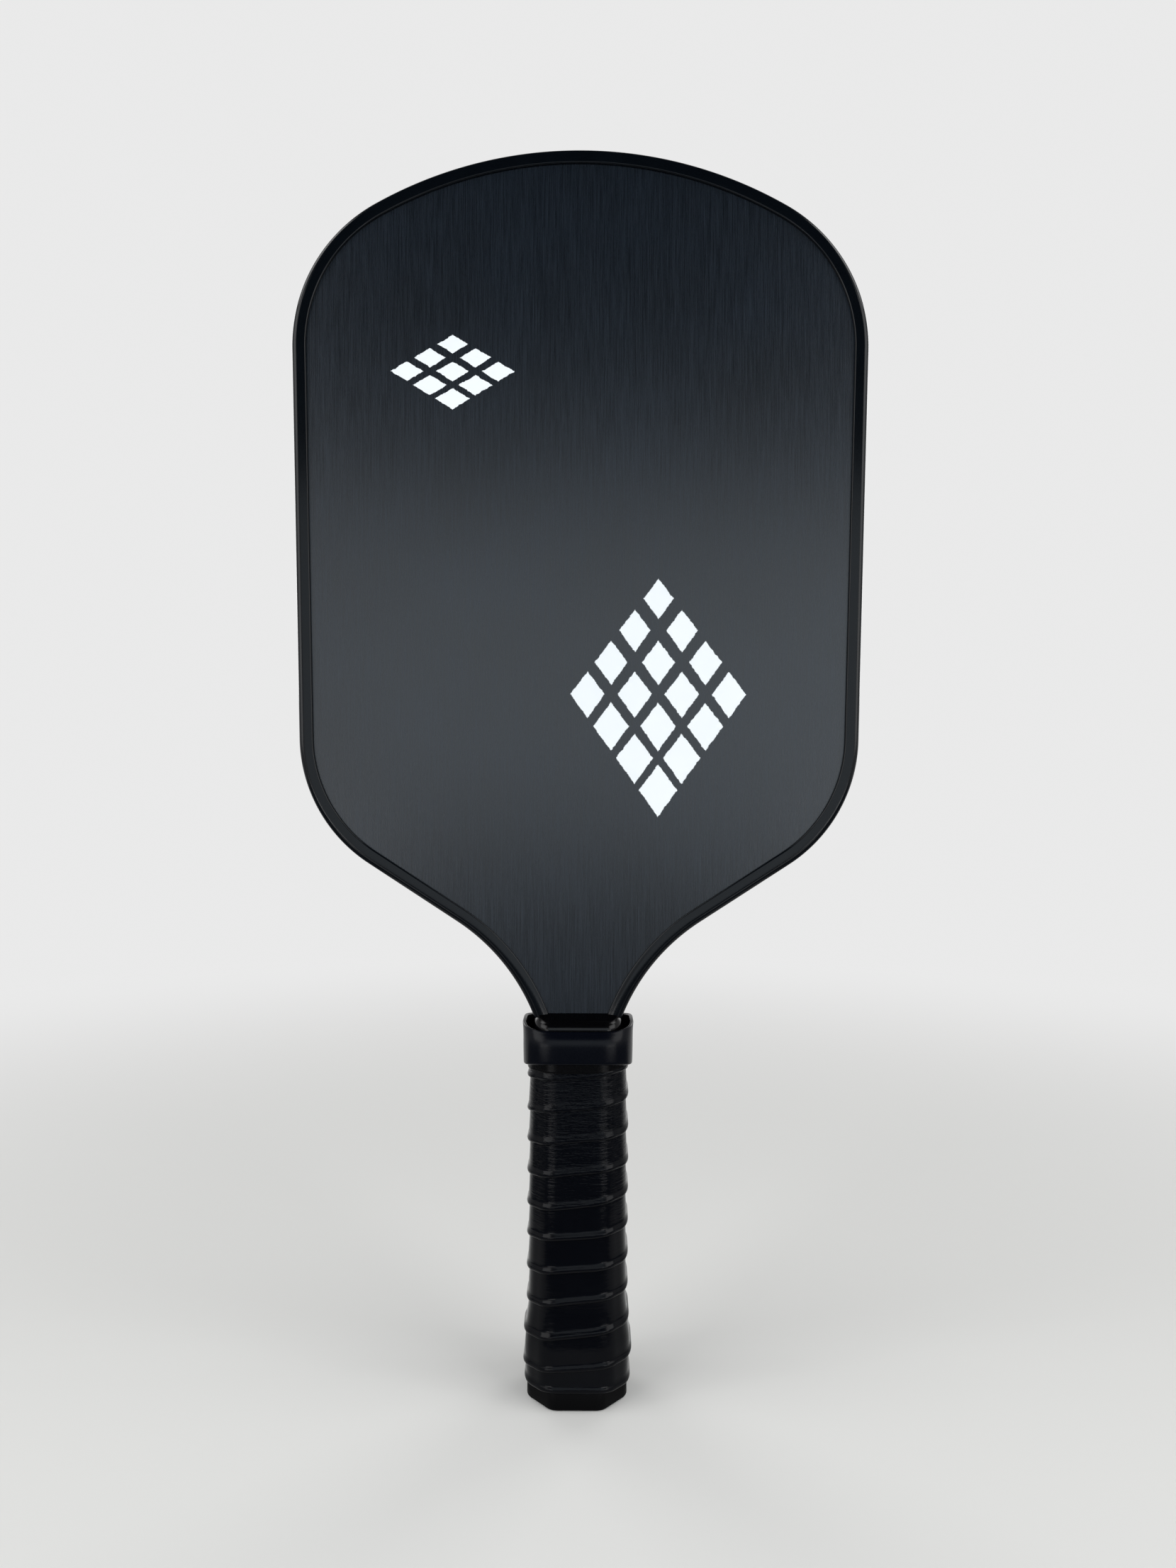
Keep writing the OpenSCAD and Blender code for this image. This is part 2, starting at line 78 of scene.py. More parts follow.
# How far the edge wavers, the height over which that grows in, and how slack the strip lies
WAVER, WAVER_RUN, SLACK = 0.28, 4.0, 0.05
# Columns across the strip as distances from its lower edge, sparse where the turn above covers it
STRIP_COLUMNS = np.concatenate([np.linspace(OVER_W, 12, 4), np.linspace(11, 4, 10),
                                np.linspace(3.5, 0.7, 11), [0.5, 0.32, 0.18, 0.06, 0.0]])

# Finishing band: lower edge, thickness and play; its rounded edge as shares of the thickness at heights
BAND_Z, BAND_T, BAND_PLAY = 108.9, 0.15, 0.14
BAND_LIFT = OVER_LIFT + OVER_RISE * OVER_W / OVER_PITCH + OVER_T + BAND_PLAY
BAND_EDGE = ((0.0, 0.0), (0.7, 0.05), (1.0, 0.2))
# Ripple of its wall: height, radians per millimetre, and how far from the two edges it ends
RIPPLE, RIPPLE_RATE, RIPPLE_FROM, RIPPLE_TO = 0.03, 5.0, 0.8, 0.3

# Collar: play over the band, ends, arch of its lower edge, dip of its lip, wall and bevels
COLLAR_PLAY = 0.1
COLLAR_LIFT = BAND_LIFT + BAND_T + COLLAR_PLAY
COLLAR_Z, COLLAR_RISE, COLLAR_TOP, COLLAR_DIP = 109.8, 2.2, 124.2, 1.8
COLLAR_WALL, COLLAR_BEVEL, COLLAR_HEAD_BEVEL = 1.2, 5.8, 6.85
# Heights of its edges' roundings, the wall's share left at the foot, and the foot's inner edge
FOOT_R, LIP_R, FOOT_WALL, FOOT_INNER = 0.7, 0.6, 0.4, 0.4
# The wall's belly as a share, and the power that keeps the widening near the lip
COLLAR_BELLY, COLLAR_WIDEN = 0.1, 6
COLLAR_GRIP = HANDLE + COLLAR_LIFT * GROW
COLLAR_HEAD = np.minimum(COLLAR_GRIP, [np.inf, np.inf, COLLAR_HEAD_BEVEL, COLLAR_HEAD_BEVEL])
COLLAR_LIP = np.array([17.2, 14.3, 4.82, 4.82])

# How far an octagon's corners are softened along its flats and along its bevels
GRIP_SOFT, BAND_SOFT, COLLAR_SOFT, CRISP = (5.0, 3.3), (4.6, 3.3), (6.0, 3.9), (2.0, 2.0)


# Surfaces

def set_down(name, points, faces, material):
    """A smooth-shaded mesh object at the origin, in the scene."""
    mesh = bpy.data.meshes.new(name)
    mesh.from_pydata(points, [], faces)
    mesh.polygons.foreach_set("use_smooth", np.ones(len(mesh.polygons), dtype=bool))
    mesh.materials.append(material)
    piece = bpy.data.objects.new(name, mesh)
    bpy.context.scene.collection.objects.link(piece)
    return piece


def shell(name, grid, material, node, closed=True, ends=False, sharp=50):
    """A mesh of quads over a grid of points in millimetres. Every row of the grid is a closed ring; rows
    are joined to the next, and the last to the first if closed. With ends, the first and last rings are
    filled. A solid whose signed volume comes out negative is turned the right way round."""
    rows, cols = grid.shape[:2]
    index = np.arange(rows * cols).reshape(rows, cols)
    here = index if closed else index[:-1]
    above = np.roll(index, -1, axis=0) if closed else index[1:]
    corners = [here, np.roll(here, -1, axis=1), np.roll(above, -1, axis=1), above]
    quads = np.stack(corners, axis=-1).reshape(-1, 4)
    points = grid.reshape(-1, 3) * MM
    a, b, c, d = (points[quads[:, k]] for k in range(4))
    volume = np.einsum("ij,ij->", a, np.cross(b, c)) + np.einsum("ij,ij->", a, np.cross(c, d))
    if volume < 0:
        quads = quads[:, ::-1]
    faces = quads.tolist()
    if ends:
        first, last = index[0].tolist(), index[-1].tolist()
        faces += [first[::-1], last] if volume >= 0 else [first, last[::-1]]
    piece = set_down(name, points.tolist(), faces, material)
    piece.data.set_sharp_from_angle(angle=math.radians(sharp))
    piece.data.update()
    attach(piece, "root")
    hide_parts(node)


def heading(degrees):
    """Unit vectors in the X-Z plane, at angles from +X."""
    a = np.radians(degrees)
    return np.stack([np.cos(a), np.sin(a)], axis=-1)


def guard_path():
    """Points and outward normals of the outline from the right-hand end of the guard, over the crown, to
    the left-hand end: hollow neck arc, straight flank, lower corner, straight side, upper corner and half
    the crown, each tangent to the next, then the same mirrored."""
    crown_z = PADDLE_LEN - CROWN_R
    upper_x = HEAD_W / 2 - UPPER_R
    upper_z = crown_z + math.sqrt((CROWN_R - UPPER_R) ** 2 - upper_x ** 2)
    lean, slope = math.radians(SIDE_LEAN), math.radians(FLANK_SLOPE)
    lower_x = upper_x + (UPPER_R - LOWER_R - (upper_z - LOWER_Z) * math.sin(lean)) / math.cos(lean)
    neck_x = NECK_HALF + NECK_R
    reach = lower_x * math.sin(slope) - LOWER_Z * math.cos(slope) + LOWER_R + NECK_R
    neck_z = (neck_x * math.sin(slope) - reach) / math.cos(slope)
    crown_dir = 90 - math.degrees(math.asin(upper_x / (CROWN_R - UPPER_R)))
    end_dir = 180 - math.degrees(math.asin((GUARD_END_Z - neck_z) / NECK_R))
    # Centre, radius, first and last direction, 1 where the outline bulges or -1 where it is hollow, points
    arcs = [([neck_x, neck_z], NECK_R, end_dir, 90 + FLANK_SLOPE, -1, 40),
            ([lower_x, LOWER_Z], LOWER_R, FLANK_SLOPE - 90, -SIDE_LEAN, 1, 44),
            ([upper_x, upper_z], UPPER_R, -SIDE_LEAN, crown_dir, 1, 52),
            ([0, crown_z], CROWN_R, crown_dir, 90, 1, 40)]
    points, normals = [], []
    for centre, radius, start, stop, bulge, count in arcs:
        out = heading(np.linspace(start, stop, count))
        ring = np.array(centre) + radius * out
        if points:
            run = np.linspace(points[-1][-1], ring[0], 26)[1:-1]
            if np.linalg.norm(run[-1] - run[0]) > 1:
                points.append(run)
                normals.append(np.repeat(out[:1], len(run), axis=0))
        points.append(ring)
        normals.append(bulge * out)
    points, normals = np.concatenate(points), np.concatenate(normals)
    keep = np.r_[True, np.linalg.norm(np.diff(points, axis=0), axis=1) > 1e-6]
    points, normals = points[keep], normals[keep]
    flip = np.array([-1, 1])
    return np.concatenate([points, points[-2::-1] * flip]), np.concatenate([normals, normals[-2::-1] * flip])


def guard_section(crown):
    """The guard's C-section as a loop of (out, depth): from the middle of the outer wall a quarter-round
    shoulder, a lip whose top falls off on a parabola by the crown, a rounded lip edge, the channel's
    floor, and the same mirrored to the other face."""
    turn = np.linspace(0, np.pi / 2, 12)
    shoulder_u = SHOULDER_R * (np.cos(turn) - 1)
    shoulder = np.stack([shoulder_u, GUARD_HALF - SHOULDER_R * (1 - np.sin(turn))], axis=1)
    lip_end = LIP_EDGE_R - GUARD_COVER
    lip_u = np.linspace(-SHOULDER_R, lip_end, 12)[1:]
    fall = crown * ((lip_u + SHOULDER_R) / (lip_end + SHOULDER_R)) ** 2
    lip = np.stack([lip_u, GUARD_HALF - fall], axis=1)
    drop = GUARD_HALF - crown - CHANNEL_HALF
    round_u = lip_end - LIP_EDGE_R * np.sin(turn[1::2])
    round_v = CHANNEL_HALF + drop * (LIP_UPRIGHT + (1 - LIP_UPRIGHT) * np.cos(turn[1::2]))
    edge = np.stack([round_u, round_v], axis=1)
    floor_u = np.array([-GUARD_COVER, -(GUARD_COVER + GUARD_WEB) / 2, -GUARD_WEB])
    floor = np.stack([floor_u, np.full(3, CHANNEL_HALF)], axis=1)
    half = np.concatenate([np.array([[0, 0]]), shoulder, lip, edge, floor])
    inner = np.array([[-GUARD_WEB, 0]])
    return np.concatenate([half, inner, half[:0:-1] * np.array([1, -1])])


def guard_grid():
    """The section carried along the outline: a point is the outline's point, moved along its normal by the
    section's first number, at the depth of the second. Round the head the lip is nearly flat; down the
    flanks it passes into the crowned lip of the hollow neck."""
    path, normals = guard_path()
    neck = np.clip((LIP_PASS_Z - path[:, 1]) / LIP_PASS_RUN, 0, 1)[:, None, None]
    section = guard_section(LIP_FALL) * (1 - neck) + guard_section(NECK_FALL) * neck
    xz = path[:, None, :] + normals[:, None, :] * section[..., :1]
    return np.stack([xz[..., 0], section[..., 1], xz[..., 1]], axis=-1)


# An octagon's corners, anticlockwise from the right: their signs, and which half size the bevel shortens
CORNER_X, CORNER_Y = np.array([1, 1, -1, -1, -1, -1, 1, 1]), np.array([1, 1, 1, 1, -1, -1, -1, -1])
BEVEL_X, BEVEL_Y = np.array([0, 1, 1, 0, 0, 1, 1, 0]), np.array([1, 0, 0, 1, 1, 0, 0, 1])


def octagon(s, size, soft):
    """Points of an octagon with soft corners. size holds half width, half depth and the bevel across each;
    soft tells how far the softening reaches along the flats and along the bevels; s runs from 0 to 8 round
    it. In the first half of each unit the point goes round a corner on a parabola, in the second half
    along the straight to the next corner."""
    half_w, half_d, bevel_w, bevel_d = size

    def corner(i):
        i = i % 8
        return np.stack([CORNER_X[i] * (half_w - BEVEL_X[i] * bevel_w),
                         CORNER_Y[i] * (half_d - BEVEL_Y[i] * bevel_d)], axis=-1)

    i = np.floor(s).astype(int)
    t = (s - i)[..., None]
    flat_first = (i % 2 == 0)[..., None]
    first, last = np.where(flat_first, *soft), np.where(flat_first, *soft[::-1])
    here, before, after = corner(i), corner(i - 1), corner(i + 1)
    back = (before - here) / np.linalg.norm(before - here, axis=-1, keepdims=True)
    length = np.linalg.norm(after - here, axis=-1, keepdims=True)
    ahead = (after - here) / length
    bend = np.clip(2 * t, 0, 1)
    along = np.clip(2 * t - 1, 0, 1)
    curve = here + (1 - bend) ** 2 * first * back + bend ** 2 * last * ahead
    straight = here + ahead * (last + along * (length - 2 * last))
    return np.where(t < 0.5, curve, straight)


def ring_steps(per_corner, per_side):
    """Values of s for one trip round an octagon, with points on each corner and each straight."""
    bend = np.linspace(0, 0.5, per_corner, endpoint=False)
    straight = np.linspace(0.5, 1, per_side, endpoint=False)
    return (np.arange(8)[:, None] + np.concatenate([bend, straight])[None, :]).ravel()


def handle_size(g):
    """The bare handle's octagon moved outwards by g."""
    return [size + grow * g for size, grow in zip(HANDLE, GROW)]


def flare(z):
    """How far the handle widens towards the butt: a smooth step."""
    s = np.clip((FLARE_Z - z) / (FLARE_Z - FLARE_FULL_Z), 0, 1)
    return FLARE * s * s * (3 - 2 * s)


def waves(seed, count, longest, shortest):
    """A smooth random function of one number: a sum of sines with drawn lengths and phases, about -1 to 1."""
    draw = np.random.RandomState(seed)
    lengths = np.exp(draw.uniform(math.log(shortest), math.log(longest), count))
    phases = draw.uniform(0, 2 * np.pi, count)

    def total(x):
        return np.sin(2 * np.pi * np.asarray(x)[..., None] / lengths + phases).sum(-1) / math.sqrt(count)

    return total


def overgrip_grid():
    """The overgrip as a strip wound up the handle. A station is a place along the strip, a column a place
    across it. Its height falls with the column from the strip's upper edge, and it stands out from the
    handle by one layer for each turn beneath it, so each lower edge lies on the turn below. The edge is
    rounded and slightly rolled, and its line wavers; wave lengths are in turns."""
    steps = ring_steps(9, 6)
    ring = octagon(steps, HANDLE, GRIP_SOFT)
    lengths = np.linalg.norm(np.roll(ring, -1, axis=0) - ring, axis=1)
    share = np.r_[0, np.cumsum(lengths)[:-1]] / lengths.sum()
    count = int(math.ceil((GRIP_TOP - GRIP_Z) / OVER_PITCH)) + 2
    turns = (np.arange(count)[:, None] + share[None, :]).ravel()
    around = np.tile(steps, count)
    low = GRIP_Z + OVER_PITCH * (turns - 1)
    keep = low < GRIP_TOP - STRIP_END
    turns, around, low = turns[keep], around[keep], low[keep]
    wander = waves(seed=3, count=7, longest=1.9, shortest=0.24)(turns)
    waver = WAVER * wander * np.clip((low - GRIP_Z) / WAVER_RUN, 0, 1)
    top = np.minimum(low + OVER_W, GRIP_TOP)
    foot = np.maximum(low + waver, GRIP_Z)
    across = 1 - STRIP_COLUMNS / OVER_W
    z = top[:, None] + (foot - top)[:, None] * across[None, :]
    to_edge = (1 - across)[None, :] * (top - foot)[:, None]
    layers = np.minimum((low[:, None] + OVER_W - z) / OVER_PITCH, turns[:, None])
    lift = flare(z) + OVER_LIFT + OVER_RISE * np.clip(layers, 0, None)
    rounded = np.sqrt(np.clip(1 - np.clip(1 - to_edge / EDGE_R, 0, 1) ** 2, 0, 1))
    rolled = ROLL * np.exp(-((to_edge - ROLL_BACK) / ROLL_REACH) ** 2)
    loose = waves(seed=8, count=9, longest=1.3, shortest=0.09)(turns)[:, None]
    slack = SLACK * np.sin(np.pi * np.clip(to_edge / OVER_PITCH, 0, 1)) * loose
    outer = lift + OVER_T * rounded + (rolled + slack) * (to_edge > EDGE_SLIVER)

    def wall(g):
        xy = octagon(np.broadcast_to(around[:, None], g.shape), handle_size(g), GRIP_SOFT)
        return np.concatenate([xy, z[..., None]], axis=-1)

    return np.concatenate([wall(outer), wall(lift)[:, ::-1]], axis=1)


def ring_grid(keys, steps, soft):
    """Octagon rings stacked into a surface. Each key holds the octagon's four sizes, how far the ring is
    moved outwards, its height, and how much it dips towards the front and back. soft is one pair for all
    rings or a pair for each."""
    sizes = np.array([np.asarray(k[0]) + k[1] * GROW for k in keys])
    z = np.array([k[2] for k in keys])
    dip = np.array([k[3] if len(k) > 3 else 0.0 for k in keys])
    soft = np.broadcast_to(soft, (len(keys), 2)).T[:, :, None, None]
    s = np.broadcast_to(steps[None, :], (len(keys), len(steps)))
    xy = octagon(s, [sizes[:, k, None] for k in range(4)], tuple(soft))
    height = z[:, None] - dip[:, None] * (xy[..., 1] / sizes[:, 1, None]) ** 2
    return np.concatenate([xy, height[..., None]], axis=-1)


def collar_grid():
    """The collar: rings up its outside from a rounded lower edge, which is arched at the front and back, to
    a rounded lip that dips there, then down inside. Between the two edges the octagon passes smoothly from
    the grip's to the mouth's."""
    bevels = [COLLAR_BEVEL, COLLAR_BEVEL]
    low, lip = np.r_[COLLAR_GRIP[:2], bevels], np.r_[COLLAR_LIP[:2], bevels]
    wall = COLLAR_WALL * np.array([1, 1, 0, 0])
    height = COLLAR_TOP - COLLAR_Z - FOOT_R - LIP_R
    keys = []
    for turn in np.linspace(0, np.pi / 2, 6):
        size = low + wall * (FOOT_WALL + (1 - FOOT_WALL) * math.sin(turn))
        keys.append((size, 0, COLLAR_Z + FOOT_R * (1 - math.cos(turn)), -COLLAR_RISE))
    for share in np.linspace(0.08, 0.95, 12):
        belly = wall * (1 + COLLAR_BELLY * math.sin(math.pi * share))
        size = low + (lip - low) * share ** COLLAR_WIDEN + belly
        dip = (COLLAR_RISE + COLLAR_DIP) * share - COLLAR_RISE
        keys.append((size, 0, COLLAR_Z + FOOT_R + height * share, dip))
    for turn in np.linspace(0.05, 1, 9) * np.pi:
        mixed = 0.5 + 0.5 * math.cos(turn)
        size = lip * mixed + COLLAR_LIP * (1 - mixed) + wall * mixed
        keys.append((size, 0, COLLAR_TOP - LIP_R + LIP_R * math.sin(turn), COLLAR_DIP))
    inside = [(COLLAR_HEAD, 0, HEAD_Z), (COLLAR_GRIP, 0, COLLAR_Z + FOOT_INNER, -COLLAR_RISE)]
    soft = np.array([COLLAR_SOFT] * len(keys) + [CRISP] * len(inside))
    return ring_grid(keys + inside, ring_steps(10, 6), soft)


def pallet_grid(side):
    """A pallet: rings up a bar that is half an octagon with a slot for the tongue, then up a head without
    legs, whose wall turns over a rounded edge into a sloping shoulder. Each ring is drawn from the middle
    of the front round to the middle of the slot, then mirrored; side is -1 for the front, 1 for the rear."""

    def ring(corner, leg):
        (x0, y0), bend, (x1, y1) = corner
        drafted = SLOT_HALF - SLOT_DRAFT
        front = np.stack([np.linspace(0, x0, 7)[:-1], np.full(6, y0)], axis=1)
        flank = np.stack([np.full(4, x1), np.linspace(y1, leg, 5)[:-1]], axis=1)
        end = np.stack([np.linspace(x1, SLOT_HALF, 5)[:-1], np.full(4, leg)], axis=1)
        inner = np.stack([np.linspace(SLOT_HALF, drafted, 4), np.linspace(leg, -CHANNEL_HALF, 4)], axis=1)
        floor = np.stack([np.linspace(drafted - SLOT_DRAFT, 0, 6), np.full(6, -CHANNEL_HALF)], axis=1)
        half = np.concatenate([front, bend, flank, end, inner, floor])
        return np.concatenate([half, half[-2:0:-1] * np.array([-1, 1])])

    def head(inset):
        turn = np.linspace(0, np.pi / 2, 12)[:, None]
        middle, radius = np.array([HEAD_HALF - HEAD_R, HEAD_R - HEAD_HALF]), HEAD_R - inset
        bend = middle + radius * np.concatenate([np.sin(turn), -np.cos(turn)], axis=1)
        return ring((bend[0], bend[:-1], bend[-1]), -CHANNEL_HALF)

    start = np.array([HANDLE[0] - HANDLE[2], -HANDLE[1]])
    stop = np.array([HANDLE[0], HANDLE[3] - HANDLE[1]])
    bar = ring((start, np.linspace(start, stop, 12)[:-1], stop), -SPLIT_Y)
    rings = [np.column_stack([bar, np.full(len(bar), z)]) for z in (PALLET_Z, HEAD_Z)]
    foot = head(0.0)
    rings.append(np.column_stack([foot, np.full(len(foot), HEAD_Z)]))
    for turn in np.linspace(0, np.pi / 2, 10):
        plan = head(HEAD_EDGE_R * (1 - math.cos(turn)))
        slope = SHOULDER_Z + (plan[:, 1] + CHANNEL_HALF) * SHOULDER_FALL / (HEAD_HALF - CHANNEL_HALF)
        rings.append(np.column_stack([plan, slope - HEAD_EDGE_R * (1 - math.sin(turn))]))
    return np.array(rings) * np.array([1, -side, 1])


def cap_grid():
    """The butt cap: rings up a flange with a rounded end edge and rim, up a flared skirt, and down the
    pocket inside it."""
    turn = np.linspace(0, np.pi / 2, 6)
    keys = [(CAP, -CAP_EDGE * (1 - math.sin(a)), CAP_EDGE * (1 - math.cos(a))) for a in turn]
    keys += [(CAP, 0, FLANGE_H - RIM_EDGE), (CAP, -RIM_MID, FLANGE_H - RIM_MID), (CAP, -RIM_EDGE, FLANGE_H)]
    keys += [(HANDLE, float(flare(z)), z) for z in np.linspace(FLANGE_H, SKIRT_Z, 10)]
    keys += [(HANDLE, POCKET_PLAY, SKIRT_Z), (HANDLE, POCKET_PLAY, CAP_FLOOR)]
    return ring_grid(keys, ring_steps(6, 4), CRISP)


def band_grid():
    """The finishing band: rings up a thin tube with a rounded lower edge, whose wall ripples with height on
    a sine, then down its inside."""
    size = np.array(handle_size(BAND_LIFT))
    ripples = np.linspace(BAND_Z + RIPPLE_FROM, GRIP_TOP - RIPPLE_TO, 9)
    keys = [(size, BAND_T * share, BAND_Z + rise) for share, rise in BAND_EDGE]
    keys += [(size, BAND_T + RIPPLE * math.sin(RIPPLE_RATE * z), z) for z in ripples]
    keys += [(size, BAND_T, GRIP_TOP), (size, 0.0, GRIP_TOP), (size, 0.0, (BAND_Z + GRIP_TOP) / 2)]
    return ring_grid(keys, ring_steps(9, 6), BAND_SOFT)


# Finishes

def linear(hex_colour):
    """An sRGB hex colour as linear red, green, blue and alpha."""
    parts = [int(hex_colour[i:i + 2], 16) / 255 for i in (1, 3, 5)]
    return tuple(c / 12.92 if c <= 0.04045 else ((c + 0.055) / 1.055) ** 2.4 for c in parts) + (1.0,)


def add(tree, kind, inputs=None, **settings):
    """Adds a node. Settings are its own properties; inputs are values for its sockets, or sockets to link."""
    node = tree.nodes.new(kind)
    for key, value in settings.items():
        setattr(node, key, value)
    for key, value in (inputs or {}).items():
        if isinstance(value, bpy.types.NodeSocket):
            tree.links.new(value, node.inputs[key])
        else:
            node.inputs[key].default_value = value
    return node


def blank(name):
    """A new material with an untouched shader, and its tree and shader."""
    material = bpy.data.materials.new(name)
    material.use_nodes = True
    tree = material.node_tree
    return material, tree, tree.nodes["Principled BSDF"]


def coat(tree, shader, colour, rough, bump, level):
    """Links a colour, a roughness and a bump node to a shader, and sets the strength of its reflections."""
    for key, value in {"Base Color": colour, "Roughness": rough, "Normal": bump.outputs[0]}.items():
        tree.links.new(value, shader.inputs[key])
    shader.inputs["Specular IOR Level"].default_value = level


# Blotches of a moulding, per metre: 11 mm across. Share of the grain's height below a fade
MOULD_BLOTCH, FADED = 90.0, 0.15
# The part of a noise's range that most of it lies in
NOISE_LOW, NOISE_HIGH = 0.3, 0.7


def moulded(name, dark, light, rough, grain, depth, stretch=(1, 1, 1), level=0.5, fade=None):
    """A finish with two close tones, a roughness that varies between two values, and a grain of a given
    size in millimetres and depth in millimetres, stretched along any axis. With fade, the grain is weak
    below the first of two heights and full above the second."""
    material, tree, shader = blank(name)
    place = add(tree, "ShaderNodeTexCoord").outputs["Object"]
    size = 1 / (grain * MM)
    fine = add(tree, "ShaderNodeMapping", {"Vector": place, "Scale": tuple(size / k for k in stretch)})
    grit = add(tree, "ShaderNodeTexNoise",
               {"Vector": fine.outputs[0], "Scale": 1.0, "Detail": 3.0, "Roughness": 0.6}).outputs["Fac"]
    patch = add(tree, "ShaderNodeTexNoise", {"Vector": place, "Scale": MOULD_BLOTCH, "Detail": 2.0})
    tone = add(tree, "ShaderNodeMix",
               {0: patch.outputs["Fac"], 6: linear(dark), 7: linear(light)}, data_type="RGBA")
    spread = add(tree, "ShaderNodeMapRange",
                 {0: grit, 1: NOISE_LOW, 2: NOISE_HIGH, 3: rough[0], 4: rough[1]})
    bump = add(tree, "ShaderNodeBump", {"Height": grit, "Strength": 1.0, "Distance": depth * MM})
    coat(tree, shader, tone.outputs[2], spread.outputs[0], bump, level)
    if fade:
        upright = add(tree, "ShaderNodeSeparateXYZ", {0: place}).outputs[2]
        share = add(tree, "ShaderNodeMapRange",
                    {0: upright, 1: fade[0] * MM, 2: fade[1] * MM, 3: FADED, 4: 1.0})
        tree.links.new(share.outputs[0], bump.inputs["Strength"])
    return material


# Stencilled motifs on the front: middle, half width and height, cells along a side, gap below and above
MOTIFS = [((26.0, 232.0), (31.0, 42.0), 4, (0.07, 0.19)), ((-42.0, 338.0), (22.5, 13.5), 3, (0.10, 0.17))]
# Ragged paint: noise cells per metre, 1.4 mm across, how far they shift an edge in millimetres, and the
# share of a cell over which the paint fades out
RAGGED, RAGGED_REACH, PAINT_EDGE = 700.0, 1.1, 0.016


def stencil(tree, place, motifs):
    """Where paint covers the face, from 0 to 1. A motif is a rhombus cut in rows of smaller rhombi: two
    slanting coordinates count its cells, the distance to the nearest cell edge is held against a gap that
    widens upwards, and noise shifts the place first, so that the paint's edges are a little rough."""
    ragged = add(tree, "ShaderNodeTexNoise",
                 {"Vector": place, "Scale": RAGGED, "Detail": 4.0, "Roughness": 0.65})
    centred = add(tree, "ShaderNodeVectorMath",
                  {0: ragged.outputs["Color"], 1: (0.5, 0.5, 0.5)}, operation="SUBTRACT")
    moved = add(tree, "ShaderNodeVectorMath",
                {0: centred.outputs[0], 1: (RAGGED_REACH * MM,) * 3, 2: place}, operation="MULTIPLY_ADD")
    upright = add(tree, "ShaderNodeSeparateXYZ", {0: place}).outputs[2]
    cover = None
    for (x, z), (half_w, half_h), cells, gaps in motifs:
        along, up = cells / (2 * half_w * MM), cells / (2 * half_h * MM)
        parts = []
        for sign in (1, -1):
            dot = add(tree, "ShaderNodeVectorMath",
                      {0: moved.outputs[0], 1: (along, 0.0, sign * up)}, operation="DOT_PRODUCT")
            start = cells / 2 - (along * x + sign * up * z) * MM
            count = add(tree, "ShaderNodeMath",
                        {0: dot.outputs["Value"], 1: start}, operation="ADD").outputs[0]
            near = add(tree, "ShaderNodeMath", {0: count, 1: 0.5}, operation="PINGPONG").outputs[0]
            inside = add(tree, "ShaderNodeMath",
                         {0: count, 1: cells / 2, 2: cells / 2}, operation="COMPARE").outputs[0]
            parts.append(add(tree, "ShaderNodeMath", {0: near, 1: inside}, operation="MULTIPLY").outputs[0])
        least = add(tree, "ShaderNodeMath", {0: parts[0], 1: parts[1]}, operation="MINIMUM").outputs[0]
        gap = add(tree, "ShaderNodeMapRange",
                  {0: upright, 1: (z - half_h) * MM, 2: (z + half_h) * MM, 3: gaps[0], 4: gaps[1]}).outputs[0]
        over = add(tree, "ShaderNodeMath", {0: least, 1: gap}, operation="SUBTRACT").outputs[0]
        laid = add(tree, "ShaderNodeMapRange", {0: over, 1: 0.0, 2: PAINT_EDGE, 3: 0.0, 4: 1.0}).outputs[0]
        if cover is not None:
            laid = add(tree, "ShaderNodeMath", {0: cover, 1: laid}, operation="MAXIMUM").outputs[0]
        cover = laid
    return cover


# Hairlines as noise cells per metre, 0.24 mm wide and 17 mm long, and their depth in millimetres
HAIRLINE, HAIR_DEPTH = (4200.0, 400.0, 60.0), 0.012
# Blotches per metre, 36 mm across; their share in the tone and what is even in it; range of the product
FACE_BLOTCH, BLOTCH_SHARE, EVEN_SHARE, TONE_LOW, TONE_HIGH = 28.0, 0.3, 0.35, 0.17, 0.34
# The laminate's reflections and its two roughnesses; the paint's roughness, thickness and strength of relief
FACE_LEVEL, FACE_ROUGH = 0.5, (0.23, 0.32)
PAINT_ROUGH, PAINT_T, PAINT_RELIEF = 0.6, 0.03, 0.6


